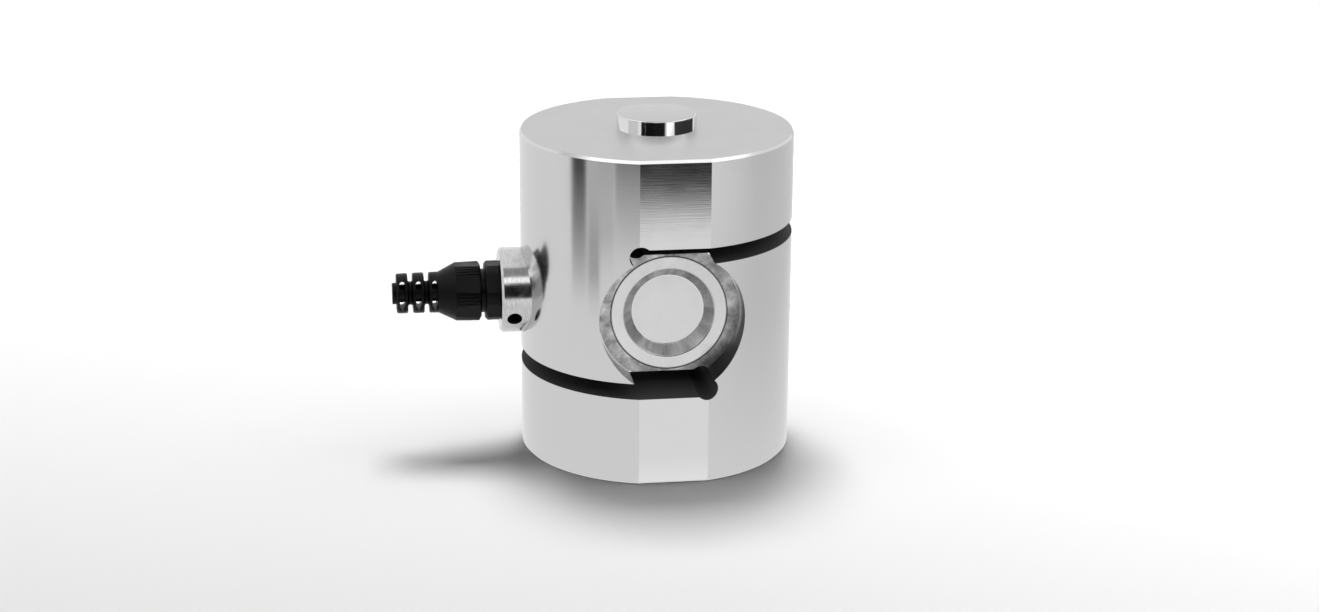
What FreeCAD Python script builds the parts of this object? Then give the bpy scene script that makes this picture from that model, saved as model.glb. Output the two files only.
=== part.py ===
"""Strain gauge load cell: a compression cell cut into an S shape.

One turned steel cylinder carries the load. Two level slots, one from each side, leave a
middle block whose thin web is sheared by the load, and foil gauges on both faces of the web
measure it. Two dished cups seal the gauge pockets, a hard button takes the load on top, and
a collar with a cable gland closes the wiring port on the left.

Millimetres, +Z up. The origin is the middle of the base. The cylinder stands on Z, the
gauge pockets lie on Y with the front at -Y, and the wiring port points along -X.
"""

import FreeCAD
import Part
import math
import os
import re
import Sketcher
from FreeCAD import Placement, Rotation, Vector

SIZES = {
    # measuring body
    "body_radius": 37.5,
    "body_height": 90.0,
    "flat_depth": 1.2,
    "top_bevel_across": 0.5,
    "top_bevel_down": 0.9,
    "base_bevel": 0.5,
    "slot_height": 4.3,
    "slot_offset": 18.6,
    "relief_offset": 9.0,
    "relief_radius": 3.0,
    "recess_radius": 19.6,
    "recess_floor": 25.9,
    "pocket_radius": 13.0,
    "web_thickness": 6.0,
    "tap_radius": 6.0,
    "tap_depth": 20.0,
    "tap_mouth": 1.0,
    # load button
    "button_radius": 10.9,
    "button_height": 4.5,
    "button_crown": 150.0,
    "button_edge": 0.5,
    "stem_radius": 7.5,
    "stem_length": 10.0,
    # sealing cups
    "cup_radius": 15.7,
    "cup_seam": 0.2,
    "cup_flange": 1.2,
    "cup_wall": 0.9,
    "dish_mouth": 12.3,
    "dish_floor": 9.8,
    "dish_depth": 3.0,
    "dish_round": 0.45,
    # wiring port and collar
    "collar_radius": 11.7,
    "collar_end": 43.7,
    "collar_seat": 34.5,
    "collar_chamfer": 0.6,
    "collar_gap": 0.1,
    "spigot_radius": 9.0,
    "spigot_end": 25.2,
    "port_end": 24.5,
    "collar_bore": 5.0,
    "socket_end": 35.0,
    "pin_hole_radius": 2.05,
    "pin_hole_offset": 40.3,
    "pin_hole_depth": 3.6,
    "pin_hole_tilt": -27.0,
    "passage_start": 26.0,
    "passage_radius": 2.2,
    "passage_length": 18.5,
    "passage_tilt": 30.0,
    "seal_ring_radius": 10.35,
    "seal_ring_section": 0.75,
    # cable gland
    "gland_thread": 6.2,
    "gland_thread_length": 8.0,
    "hex_radius": 8.2,
    "hex_flat": 7.8,
    "hex_chamfer": 0.6,
    "flange_end": 47.7,
    "neck_radius": 6.0,
    "neck_end": 53.5,
    "finger_radius": 5.2,
    "finger_taper": 57.0,
    "finger_tip": 4.3,
    "finger_end": 58.6,
    "finger_gap": 0.9,
    "gland_bore": 2.9,
    "seal_pocket": 50.5,
    "seal_radius": 4.1,
    "seal_end": 57.8,
    "gland_ring_radius": 7.0,
    "gland_ring_section": 0.5,
    # dome nut and bend boot
    "nut_start": 48.9,
    "nut_bore_end": 53.9,
    "cone_start": 55.8,
    "cone_radius": 8.05,
    "boot_start": 60.5,
    "boot_root": 5.65,
    "boot_tip": 5.45,
    "boot_end": 73.1,
    "boot_bore": 2.6,
    "ring_pitch": 4.45,
    "groove_first": 63.05,
    "groove_width": 1.4,
    "waist_radius": 3.2,
    "stub_radius": 2.95,
    "ring_edge": 0.25,
    "window_width": 1.66,
    "window_half": 4.3,
    "rib_depth": 0.3,
    # cable
    "cable_radius": 2.45,
    "sheath_wall": 0.5,
    "shield_wall": 0.2,
    "sheath_inner_end": 28.0,
    "shield_inner_end": 27.0,
    "core_radius": 0.5,
    "core_spread": 0.75,
    "core_bow_depth": 7.4,
    "core_bow_rise": 3.4,
    "core_end_rise": 0.8,
    "core_end_drop": 1.6,
    # gauges and boards
    "gauge_length": 8.0,
    "gauge_width": 4.5,
    "gauge_thickness": 0.15,
    "gauge_spread": 4.6,
    "gauge_rise": 1.5,
    "board_width": 14.0,
    "board_height": 5.0,
    "board_thickness": 0.8,
    "board_drop": 7.2,
    "pad_radius": 0.6,
    "pad_height": 0.3,
    "lead_radius": 0.15,
    "tab_place": 3.4,
    "tab_spread": 0.6,
    "tab_rise": 0.6,
    "tab_drop": 0.9,
    "lead_bow_rise": 3.3,
    "lead_end_rise": 1.0,
    "lead_end_drop": 0.2,
    "trim_width": 10.0,
    "trim_height": 4.0,
    "trim_rise": 8.6,
    "resistor_radius": 0.7,
    "resistor_length": 3.0,
    "resistor_spread": 0.95,
    "link_end": 2.5,
    "link_way_out": 10.2,
    "link_pitch": 1.2,
    "link_bow": 1.6,
    "link_lift": 0.6,
    "gel_depth": 7.0,
}

doc = FreeCAD.newDocument("LoadCell")
sheet = doc.addObject("Spreadsheet::Sheet", "Size")
parts = []


class Length:
    """A size that knows its value and the expression that ties it to the driving dimensions."""

    def __init__(self, value, text):
        self.value = float(value)
        self.text = str(text)

    def __add__(self, other):
        other = as_length(other)
        return Length(self.value + other.value, f"({self.text} + {other.text})")

    def __sub__(self, other):
        other = as_length(other)
        return Length(self.value - other.value, f"({self.text} - {other.text})")

    def __mul__(self, factor):
        return Length(self.value * factor, f"({self.text} * {factor})")

    def __truediv__(self, divisor):
        return Length(self.value / divisor, f"({self.text} / {divisor})")

    def __neg__(self):
        return Length(-self.value, f"(0 - {self.text})")

    def __rsub__(self, other):
        return as_length(other) - self

    __radd__ = __add__
    __rmul__ = __mul__


def as_length(number):
    return number if isinstance(number, Length) else Length(number, number)


class Sizes:
    """The driving dimensions, each by its own name."""

    def __init__(self, table):
        for row, (name, value) in enumerate(table.items(), 1):
            sheet.set(f"A{row}", re.sub("_", " ", name))
            sheet.set(f"B{row}", str(value))
            sheet.setAlias(f"B{row}", name)
            setattr(self, name, Length(value, f"Size.{name}"))
        doc.recompute()


s = Sizes(SIZES)
MID = s.body_height / 2
PADS = 8
CLEAR = 1.2


def bind(thing, name, length):
    """Ties one property to the driving dimensions."""
    thing.setExpression(name, as_length(length).text)


def new_body(label):
    """An empty body that becomes one sub-part."""
    body = doc.addObject("PartDesign::Body", label)
    body.Label = label
    parts.append(body)
    return body


def plane_of(body, role):
    return next(item for item in body.Origin.OriginFeatures if item.Role == role)


def new_sketch(body, name, role, height=0, shift=0):
    """A sketch on an origin plane, moved off it by height and up within it by shift."""
    sketch = body.newObject("Sketcher::SketchObject", name)
    sketch.AttachmentSupport = (plane_of(body, role), [""])
    sketch.MapMode = "FlatFace"
    bind(sketch, "AttachmentOffset.Base.z", height)
    bind(sketch, "AttachmentOffset.Base.y", shift)
    return sketch


def axial_sketch(body, name):
    """The level plane through the middle: X runs along the port, Y along the pockets."""
    return new_sketch(body, name, "XY_Plane", height=MID)


def hold(sketch, kind, geometry, end, length):
    """Holds one coordinate of a sketch point at its size, or on the axis at nought."""
    length = as_length(length)
    if length.text == "0":
        axis = -2 if kind == "DistanceX" else -1
        sketch.addConstraint(Sketcher.Constraint("PointOnObject", geometry, end, axis))
        return
    rule = Sketcher.Constraint(kind, -1, 1, geometry, end, length.value)
    index = sketch.addConstraint(rule)
    sketch.setExpression(f"Constraints[{index}]", length.text)


def hold_radius(sketch, geometry, radius):
    index = sketch.addConstraint(Sketcher.Constraint("Radius", geometry, radius.value))
    sketch.setExpression(f"Constraints[{index}]", radius.text)


def arc_between(start, end, radius, outward):
    """An arc of the radius that leaves the straight line on its outward side."""
    half = (end - start) * 0.5
    rise = radius - math.sqrt(max(radius**2 - half.Length**2, 0.0))
    return Part.Arc(start, start + half + outward * rise, end)


def outline(sketch, corners, bends=None):
    """A closed outline whose corners are held at their sizes.

    The edge after each corner is straight, unless bends gives a radius for its number. A
    bent edge bulges to the right of its direction, or to the left for a negative radius.
    """
    bends = bends or {}
    points = [Vector(as_length(x).value, as_length(y).value, 0) for x, y in corners]
    first = sketch.GeometryCount
    begins = []
    for index, start in enumerate(points):
        end = points[(index + 1) % len(points)]
        if index in bends:
            radius = bends[index]
            side = 1 if radius.value > 0 else -1
            run = (end - start).normalize()
            outward = Vector(run.y, -run.x, 0) * side
            sketch.addGeometry(arc_between(start, end, abs(radius.value), outward), False)
            hold_radius(sketch, first + index, radius * side)
        else:
            sketch.addGeometry(Part.LineSegment(start, end), False)
        near = sketch.getPoint(first + index, 1).distanceToPoint(start) < 1e-6
        begins.append(1 if near else 2)
    for index, (x, y) in enumerate(corners):
        before = (index - 1) % len(points)
        hold(sketch, "DistanceX", first + index, begins[index], x)
        hold(sketch, "DistanceY", first + index, begins[index], y)
        tie = (first + before, 3 - begins[before], first + index, begins[index])
        sketch.addConstraint(Sketcher.Constraint("Coincident", *tie))


def block(sketch, left, right, low, high):
    outline(sketch, [(left, low), (right, low), (right, high), (left, high)])


def ring(sketch, x, y, radius):
    """A circle held at its centre and radius."""
    centre = Vector(as_length(x).value, as_length(y).value, 0)
    index = sketch.addGeometry(Part.Circle(centre, Vector(0, 0, 1), radius.value), False)
    hold(sketch, "DistanceX", index, 3, x)
    hold(sketch, "DistanceY", index, 3, y)
    hold_radius(sketch, index, radius)


def feature(body, kind, name, sketch):
    """Adds a feature made from a sketch and returns it."""
    thing = body.newObject(kind, name)
    thing.Profile = sketch
    sketch.Visibility = False
    return thing


def turn(body, name, sketch, axis):
    """Turns the sketch about one of its axes: adds to the body, or starts it."""
    thing = feature(body, "PartDesign::Revolution", name, sketch)
    thing.ReferenceAxis = (sketch, [axis])
    thing.Angle = 360
    return thing


def turn_away(body, name, sketch, axis):
    """Turns the sketch about one of its axes and cuts it out of the body."""
    thing = feature(body, "PartDesign::Groove", name, sketch)
    thing.ReferenceAxis = (sketch, [axis])
    thing.Angle = 360
    return thing


def cut_through(body, name, sketch):
    """Cuts the sketch through the whole body, both ways from its plane."""
    thing = feature(body, "PartDesign::Pocket", name, sketch)
    thing.Type = "ThroughAll"
    thing.Midplane = True
    return thing


def drill(body, name, radius, length, start, direction):
    """A round hole that starts at a point and runs along a direction."""
    hole = body.newObject("PartDesign::SubtractiveCylinder", name)
    hole.AttachmentSupport = (plane_of(body, "XY_Plane"), [""])
    hole.MapMode = "FlatFace"
    hole.AttachmentOffset = Placement(Vector(), Rotation(Vector(0, 0, 1), direction))
    for axis, place in zip("xyz", start):
        bind(hole, f"AttachmentOffset.Base.{axis}", place)
    bind(hole, "Radius", radius)
    bind(hole, "Height", length)
    return hole


def circles_of(shape):
    """The name and the curve of each circular edge."""
    for number, edge in enumerate(shape.Edges, 1):
        if not edge.Degenerated and isinstance(edge.Curve, Part.Circle):
            yield f"Edge{number}", edge.Curve


def round_edges(body, name, amount, wanted):
    """Rounds the circular edges of the body so far for which wanted holds."""
    doc.recompute()
    base = body.Tip
    edges = [edge for edge, circle in circles_of(base.Shape) if wanted(circle)]
    rounding = body.newObject("PartDesign::Fillet", name)
    rounding.Base = (base, edges)
    bind(rounding, "Radius", amount)


def around(body, name, features, sketch, count):
    """Repeats features evenly about the sketch's own normal."""
    pattern = body.newObject("PartDesign::PolarPattern", name)
    pattern.Originals = features
    pattern.Axis = (sketch, ["N_Axis"])
    pattern.Angle = 360
    pattern.Occurrences = count
    body.Tip = pattern
    return pattern


def passage_aim(way):
    """The level direction of the front or back wire passage."""
    lean = math.radians(s.passage_tilt.value)
    return Vector(math.cos(lean), math.sin(lean) * way, 0)


def make_measuring_body():
    """One solid: cylinder, front and back flats, S slots, recesses, pockets and port."""
    body = new_body("measuring_body")
    side = new_sketch(body, "CylinderProfile", "XZ_Plane")
    corners = [
        (0, 0),
        (s.body_radius - s.base_bevel, 0),
        (s.body_radius, s.base_bevel),
        (s.body_radius, s.body_height - s.top_bevel_down),
        (s.body_radius - s.top_bevel_across, s.body_height),
        (0, s.body_height),
    ]
    outline(side, corners)
    turn(body, "Cylinder", side, "V_Axis")

    flats = new_sketch(body, "FlatProfiles", "XY_Plane")
    flat_face = s.body_radius - s.flat_depth
    beyond = s.body_radius * CLEAR
    for way in (-1, 1):
        near, far = flat_face * way, beyond * way
        low, high = (far, near) if way < 0 else (near, far)
        block(flats, -s.recess_radius, s.recess_radius, low, high)
    cut_through(body, "Flats", flats)
    ends = (
        ("TopFlatBevels", s.body_height, s.top_bevel_across, -s.top_bevel_down),
        ("BaseFlatBevels", 0, s.base_bevel, s.base_bevel),
    )
    for name, level, across, inward in ends:
        bevels = new_sketch(body, f"{name}Profile", "YZ_Plane")
        for way in (-1, 1):
            corners = [
                (flat_face * way, level + inward),
                (beyond * way, level + inward),
                (beyond * way, level - inward),
                ((flat_face - across) * way, level - inward),
                ((flat_face - across) * way, level),
            ]
            outline(bevels, corners)
        cut_through(body, name, bevels)

    relief = new_sketch(body, "ReliefHoleCircles", "XZ_Plane", shift=MID)
    for way in (-1, 1):
        ring(relief, s.relief_offset * -way, s.slot_offset * way, s.relief_radius)
    cut_through(body, "ReliefHoles", relief)

    slots = new_sketch(body, "SlotProfiles", "XZ_Plane", shift=MID)
    half = s.slot_height / 2
    for way in (-1, 1):
        closed, mouth = s.relief_offset * -way, beyond * way
        left, right = (mouth, closed) if way < 0 else (closed, mouth)
        level = s.slot_offset * way
        block(slots, left, right, level - half, level + half)
    cut_through(body, "Slots", slots)

    bores = axial_sketch(body, "PocketProfiles")
    seat = s.recess_floor - s.cup_flange
    for way in (-1, 1):
        corners = [
            (0, s.web_thickness / 2 * way),
            (s.pocket_radius, s.web_thickness / 2 * way),
            (s.pocket_radius, seat * way),
            (s.cup_radius + s.cup_seam, seat * way),
            (s.cup_radius + s.cup_seam, s.recess_floor * way),
            (s.recess_radius, s.recess_floor * way),
            (s.recess_radius, beyond * way),
            (0, beyond * way),
        ]
        outline(bores, corners)
    turn_away(body, "GaugePockets", bores, "V_Axis")

    port = axial_sketch(body, "PortProfile")
    corners = [
        (-beyond, 0),
        (-beyond, s.collar_radius + s.collar_gap),
        (-s.collar_seat, s.collar_radius + s.collar_gap),
        (-s.collar_seat, s.spigot_radius),
        (-s.port_end, s.spigot_radius),
        (-s.port_end, 0),
    ]
    outline(port, corners)
    turn_away(body, "WiringPort", port, "H_Axis")

    for name, way in (("Front", -1), ("Back", 1)):
        start = (-s.passage_start, 0, MID)
        drill(body, f"{name}Passage", s.passage_radius, s.passage_length, start, passage_aim(way))

    seat_hole = new_sketch(body, "StemSeatProfile", "XZ_Plane")
    block(seat_hole, 0, s.stem_radius, s.body_height - s.stem_length, s.body_height + 1)
    turn_away(body, "StemSeat", seat_hole, "V_Axis")

    tapped = new_sketch(body, "BaseHoleProfile", "XZ_Plane")
    corners = [
        (0, -1),
        (s.tap_radius + s.tap_mouth + 1, -1),
        (s.tap_radius, s.tap_mouth),
        (s.tap_radius, s.tap_depth),
        (0, s.tap_depth + s.tap_radius * 0.6),
    ]
    outline(tapped, corners)
    turn_away(body, "BaseHole", tapped, "V_Axis")


def make_load_button():
    """Hard button: a crowned head on the top face and a stem pressed into its seat."""
    body = new_body("load_button")
    side = new_sketch(body, "ButtonProfile", "XZ_Plane")
    top = s.body_height + s.button_height
    crown = s.button_radius.value**2 / s.button_crown.value / 2
    corners = [
        (0, s.body_height - s.stem_length),
        (s.stem_radius, s.body_height - s.stem_length),
        (s.stem_radius, s.body_height),
        (s.button_radius, s.body_height),
        (s.button_radius, top - crown),
        (0, top),
    ]
    outline(side, corners, {4: s.button_crown})
    turn(body, "Button", side, "V_Axis")
    rim = top.value - crown
    round_edges(body, "RoundedRim", s.button_edge, lambda c: abs(c.Center.z - rim) < 1e-4)


def make_sealing_cup(label, way):
    """Turned cup: flat flange, sloping dish wall and flat floor, closing one pocket."""
    body = new_body(label)
    side = axial_sketch(body, "CupProfile")
    front = s.recess_floor

    def at(radius, depth):
        return radius, (front - depth) * way

    wall = s.cup_wall
    corners = [
        at(0, s.dish_depth),
        at(s.dish_floor, s.dish_depth),
        at(s.dish_mouth, 0),
        at(s.cup_radius, 0),
        at(s.cup_radius, s.cup_flange),
        at(s.pocket_radius, s.cup_flange),
        at(s.dish_floor + wall / 2, s.dish_depth + wall),
        at(0, s.dish_depth + wall),
    ]
    outline(side, corners)
    turn(body, "Cup", side, "V_Axis")
    dish = (s.dish_mouth.value, s.dish_floor.value)
    round_edges(body, "RoundedDish", s.dish_round, lambda c: min(abs(c.Radius - r) for r in dish) < 1e-4)


def make_collar():
    """Turned steel collar: screwed into the port, bored for the gland, two pin holes."""
    body = new_body("collar")
    side = axial_sketch(body, "CollarProfile")
    bevel = s.collar_chamfer
    groove = s.seal_ring_section
    corners = [
        (-s.collar_end, s.gland_thread),
        (-s.collar_end, s.collar_radius - bevel),
        (bevel - s.collar_end, s.collar_radius),
        (-s.collar_seat, s.collar_radius),
        (-s.collar_seat, s.seal_ring_radius + groove),
        (-s.collar_seat - groove * 2, s.seal_ring_radius + groove),
        (-s.collar_seat - groove * 2, s.seal_ring_radius - groove),
        (-s.collar_seat, s.seal_ring_radius - groove),
        (-s.collar_seat, s.spigot_radius),
        (-s.spigot_end - bevel, s.spigot_radius),
        (-s.spigot_end, s.spigot_radius - bevel),
        (-s.spigot_end, s.collar_bore),
        (-s.socket_end, s.collar_bore),
        (-s.socket_end, s.gland_thread),
    ]
    outline(side, corners)
    turn(body, "Collar", side, "H_Axis")
    depth = s.pin_hole_depth
    for number in range(2):
        tilt = math.radians(s.pin_hole_tilt.value + 180 * number)
        inward = Vector(0, math.cos(tilt), -math.sin(tilt))
        reach = s.collar_radius + 1
        start = (-s.pin_hole_offset, reach * -inward.y, MID + reach * -inward.z)
        drill(body, f"PinHole{number + 1}", s.pin_hole_radius, depth + 1, start, inward)


def make_seal_ring(label, face, radius, section):
    """Round rubber ring about the port's axis, in the groove behind a face."""
    body = new_body(label)
    side = axial_sketch(body, "RingSection")
    ring(side, -face - section, radius, section)
    turn(body, "Ring", side, "H_Axis")


def cut_flats(body, start, stop, ribs):
    """Cuts six wrench flats between two places along the port, with ribs between them."""
    face = new_sketch(body, "FlatSection", "YZ_Plane", height=-stop, shift=MID)
    block(face, -s.hex_radius, s.hex_radius, s.hex_flat, s.hex_radius * 1.3)
    flat = feature(body, "PartDesign::Pocket", "Flat", face)
    bind(flat, "Length", stop - start)
    flat.Reversed = True
    repeated = [flat]
    if ribs:
        lines = new_sketch(body, "RibSection", "YZ_Plane", height=-stop, shift=MID)
        step = math.radians(6.5)
        for number in range(4):
            middle = math.radians(60) + step * (number - 1.5)
            corners = []
            for turned, radius in (
                (-0.4, s.hex_radius + 0.1),
                (0, s.hex_radius - s.rib_depth),
                (0.4, s.hex_radius + 0.1),
            ):
                angle = middle + step * turned
                corners.append((radius * math.cos(angle), radius * math.sin(angle)))
            outline(lines, corners)
        grooves = feature(body, "PartDesign::Pocket", "RibGrooves", lines)
        bind(grooves, "Length", stop - start)
        grooves.Reversed = True
        repeated.append(grooves)
    around(body, "SixAround", repeated, face, 6)


def make_gland_body():
    """Moulded gland body: thread, wrench flange, neck and six clamping fingers."""
    body = new_body("gland_body")
    side = axial_sketch(body, "GlandProfile")
    bevel = s.hex_chamfer
    groove = s.gland_ring_section
    corners = [
        (s.gland_thread_length - s.collar_end, s.gland_bore),
        (s.gland_thread_length - s.collar_end, s.gland_thread - bevel),
        (s.gland_thread_length - s.collar_end - bevel, s.gland_thread),
        (-s.collar_end, s.gland_thread),
        (-s.collar_end, s.gland_ring_radius - groove),
        (-s.collar_end - groove * 2, s.gland_ring_radius - groove),
        (-s.collar_end - groove * 2, s.gland_ring_radius + groove),
        (-s.collar_end, s.gland_ring_radius + groove),
        (-s.collar_end, s.hex_radius - bevel / 2),
        (-s.collar_end - bevel / 2, s.hex_radius),
        (bevel - s.flange_end, s.hex_radius),
        (-s.flange_end, s.hex_radius - bevel),
        (-s.flange_end, s.neck_radius),
        (-s.neck_end, s.neck_radius),
        (-s.neck_end, s.finger_radius),
        (-s.finger_taper, s.finger_radius),
        (-s.finger_end, s.finger_tip),
        (-s.finger_end, s.seal_radius),
        (-s.seal_pocket, s.seal_radius),
        (-s.seal_pocket, s.gland_bore),
    ]
    outline(side, corners)
    turn(body, "Gland", side, "H_Axis")

    gaps = new_sketch(body, "FingerGapSection", "YZ_Plane", height=-s.finger_end, shift=MID)
    half = s.finger_gap / 2
    block(gaps, -half, half, s.seal_radius * 0.8, s.finger_radius * 1.2)
    gap = feature(body, "PartDesign::Pocket", "FingerGap", gaps)
    bind(gap, "Length", s.finger_end - s.neck_end)
    gap.Reversed = True
    around(body, "SixFingers", [gap], gaps, 6)
    cut_flats(body, s.collar_end, s.flange_end, False)


def make_cable_seal():
    """Rubber sleeve that the fingers press on the cable."""
    body = new_body("cable_seal")
    side = axial_sketch(body, "SealSection")
    block(side, -s.seal_end, -s.seal_pocket, s.cable_radius, s.seal_radius)
    turn(body, "Seal", side, "H_Axis")


def make_dome_nut():
    """Dome nut and bend boot, moulded as one: ribbed hexagon, cone and slit rings."""
    body = new_body("dome_nut")
    side = axial_sketch(body, "NutProfile")
    bevel = s.hex_chamfer
    edge = s.ring_edge
    run = s.boot_end - s.boot_start
    corners = [
        (-s.nut_start, s.neck_radius),
        (-s.nut_start, s.hex_radius - bevel * 1.6),
        (-s.nut_start - bevel, s.hex_radius),
        (-s.cone_start, s.cone_radius),
        (-s.boot_start, s.boot_root),
    ]
    bends = {}
    for number in range(3):
        near = s.groove_first + s.ring_pitch * number
        far = near + s.groove_width
        share = (near.value - s.boot_start.value) / run.value
        crest = s.boot_root + (s.boot_tip - s.boot_root) * share
        root = s.waist_radius + s.groove_width * 0.377
        corners.append((edge - near, crest))
        corners.append((-near, crest - edge))
        if number == 2:
            corners.append((-near, s.stub_radius))
            break
        bends[len(corners)] = s.groove_width * -0.52
        corners.append((-near, root))
        corners.append((-far, root))
        corners.append((-far, crest - edge))
        corners.append((-far - edge, crest))
    corners += [
        (-s.boot_end, s.stub_radius),
        (-s.boot_end, s.boot_bore),
        (-s.finger_end - 0.2, s.boot_bore),
        (-s.finger_end - 0.2, s.finger_tip),
        (-s.finger_end, s.finger_tip),
        (-s.finger_taper, s.finger_radius),
        (-s.nut_bore_end, s.finger_radius),
        (-s.nut_bore_end, s.neck_radius),
    ]
    outline(side, corners, bends)
    turn(body, "NutAndBoot", side, "H_Axis")
    cut_flats(body, s.nut_start, s.boot_start, True)

    windows = new_sketch(body, "WindowSections", "XZ_Plane", shift=MID)
    ends = new_sketch(body, "WindowEnds", "XZ_Plane", shift=MID)
    half = s.window_width / 2
    reach = s.window_half - half
    for number in range(3):
        middle = s.groove_first - (s.ring_pitch - s.groove_width) / 2
        middle = -(middle + s.ring_pitch * number)
        block(windows, middle - half, middle + half, -reach, reach)
        for way in (-1, 1):
            ring(ends, middle, reach * way, half)
    cut_through(body, "Windows", windows)
    cut_through(body, "RoundedWindows", ends)


def make_cable():
    """The held length of cable: sheath and braided shield, both as plain tubes."""
    inner = s.cable_radius - s.sheath_wall
    rows = (
        ("cable_sheath", s.cable_radius, inner, s.sheath_inner_end),
        ("cable_shield", inner, inner - s.shield_wall, s.shield_inner_end),
    )
    for label, outside, inside, end in rows:
        body = new_body(label)
        side = axial_sketch(body, "TubeSection")
        block(side, -s.boot_end, -end, inside, outside)
        turn(body, "Tube", side, "H_Axis")


def smooth_path(points):
    """Straight runs through the points, joined by arcs as large as the runs allow."""
    edges = []
    start = points[0]
    for before, corner, after in zip(points, points[1:], points[2:]):
        back = (before - corner).normalize()
        ahead = (after - corner).normalize()
        run = 0.45 * min((before - corner).Length, (after - corner).Length)
        turn_half = (math.pi - back.getAngle(ahead)) / 2
        radius = run / math.tan(turn_half)
        inside = (back + ahead).normalize()
        nearest = corner + inside * (radius / math.cos(turn_half) - radius)
        entry = corner + back * run
        leave = corner + ahead * run
        edges.append(Part.LineSegment(start, entry).toShape())
        edges.append(Part.Arc(entry, nearest, leave).toShape())
        start = leave
    edges.append(Part.LineSegment(start, points[-1]).toShape())
    return Part.Wire(edges)


def wire_along(points, radius):
    """A round wire that follows the points."""
    path = smooth_path(points)
    heading = points[1] - points[0]
    section = Part.Wire(Part.Circle(points[0], heading, radius).toShape())
    return path.makePipeShell([section], True, False)


def add_shape(label, shape):
    """A sub-part whose shape is worked out from the sizes here."""
    thing = doc.addObject("Part::Feature", label)
    thing.Label = label
    thing.Shape = shape
    parts.append(thing)
    return thing


def board_face(way):
    """Where the outer face of a terminal board lies along Y."""
    return way * (s.web_thickness.value / 2 + s.board_thickness.value)


def pad_spots():
    """Places along X of the solder pads of a terminal board."""
    return [s.board_width.value * ((number + 0.5) / PADS - 0.5) for number in range(PADS)]


def make_cores():
    """Four insulated cores: one pair to each board, through its own passage."""
    reach = s.core_spread.value
    middle = MID.value
    rise = s.pad_height.value + s.core_radius.value
    level = middle - s.board_drop.value
    spots = pad_spots()
    plan = (
        ("core_red", -1, 1, spots[1]),
        ("core_black", -1, -1, spots[0]),
        ("core_green", 1, 1, spots[1]),
        ("core_white", 1, -1, spots[0]),
    )
    start = Vector(-s.passage_start.value, 0, middle)
    for label, way, lift, spot in plan:
        y = reach * way
        z = middle + reach * lift
        landing = board_face(way) + rise * way
        along = passage_aim(way) * s.passage_length.value
        stacked = Vector(0, 0, s.core_radius.value * 2.1 * lift)
        points = [
            Vector(-s.boot_end.value, y, z),
            Vector(-s.passage_start.value, y, z),
            start + along * 0.45 + stacked,
            start + along * 0.9 + stacked - Vector(0, 0, s.core_radius.value),
            Vector(spot - 1, s.core_bow_depth.value * way, level + s.core_bow_rise.value),
            Vector(spot, landing, level + s.core_end_rise.value),
            Vector(spot, landing, level - s.core_end_drop.value),
        ]
        add_shape(label, wire_along(points, s.core_radius.value))


def make_gauges():
    """Foil gauges at forty-five degrees on both faces of the web, where it is sheared."""
    long, wide, thick = s.gauge_length, s.gauge_width, s.gauge_thickness
    for side, way in (("front", -1), ("back", 1)):
        for hand, lean in (("left", -1), ("right", 1)):
            gauge = doc.addObject("Part::Box", f"gauge_{side}_{hand}")
            gauge.Label = f"gauge_{side}_{hand}"
            bind(gauge, "Length", long)
            bind(gauge, "Width", thick)
            bind(gauge, "Height", wide)
            turned = Rotation(Vector(0, 1, 0), 45 * lean)
            low = s.web_thickness.value / 2 + (thick.value if way < 0 else 0)
            corner = turned.multVec(Vector(-long.value / 2, 0, -wide.value / 2))
            place = Vector(s.gauge_spread.value * lean, low * way, MID.value + s.gauge_rise.value)
            gauge.Placement = Placement(place + corner, turned)
            parts.append(gauge)


def make_board(label, way, wide, tall, height, pads):
    """A board bonded to one face of the web, with a row of solder pads along it."""
    body = new_body(label)
    base = s.web_thickness / 2 * way
    plate = new_sketch(body, "BoardOutline", "XZ_Plane", height=-base, shift=height)
    block(plate, wide / -2, wide / 2, tall / -2, tall / 2)
    board = feature(body, "PartDesign::Pad", "Board", plate)
    bind(board, "Length", s.board_thickness)
    board.Reversed = way > 0
    face = base + s.board_thickness * way
    spots = new_sketch(body, "PadCircles", "XZ_Plane", height=-face, shift=height)
    for number in range(pads):
        ring(spots, wide * ((number + 0.5) / pads - 0.5), 0, s.pad_radius)
    solder = feature(body, "PartDesign::Pad", "Pads", spots)
    bind(solder, "Length", s.pad_height)
    solder.Reversed = way > 0


def make_boards():
    """A terminal board below each gauge pair, and a trim board above the back pair."""
    low = MID - s.board_drop
    make_board("front_terminal_board", -1, s.board_width, s.board_height, low, PADS)
    make_board("back_terminal_board", 1, s.board_width, s.board_height, low, PADS)
    make_board("trim_board", 1, s.trim_width, s.trim_height, MID + s.trim_rise, 2)


def make_trim_resistors():
    """Two small round resistors that trim the bridge, side by side on the trim board."""
    radius, long = s.resistor_radius.value, s.resistor_length.value
    y = board_face(1) + radius
    shapes = []
    for way in (-1, 1):
        apart = (s.pad_radius.value + radius) * s.resistor_spread.value
        z = MID.value + s.trim_rise.value + apart * way
        start = Vector(long / -2, y, z)
        shapes.append(Part.makeCylinder(radius, long, start, Vector(1, 0, 0)))
    add_shape("trim_resistors", Part.makeCompound(shapes))


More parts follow.
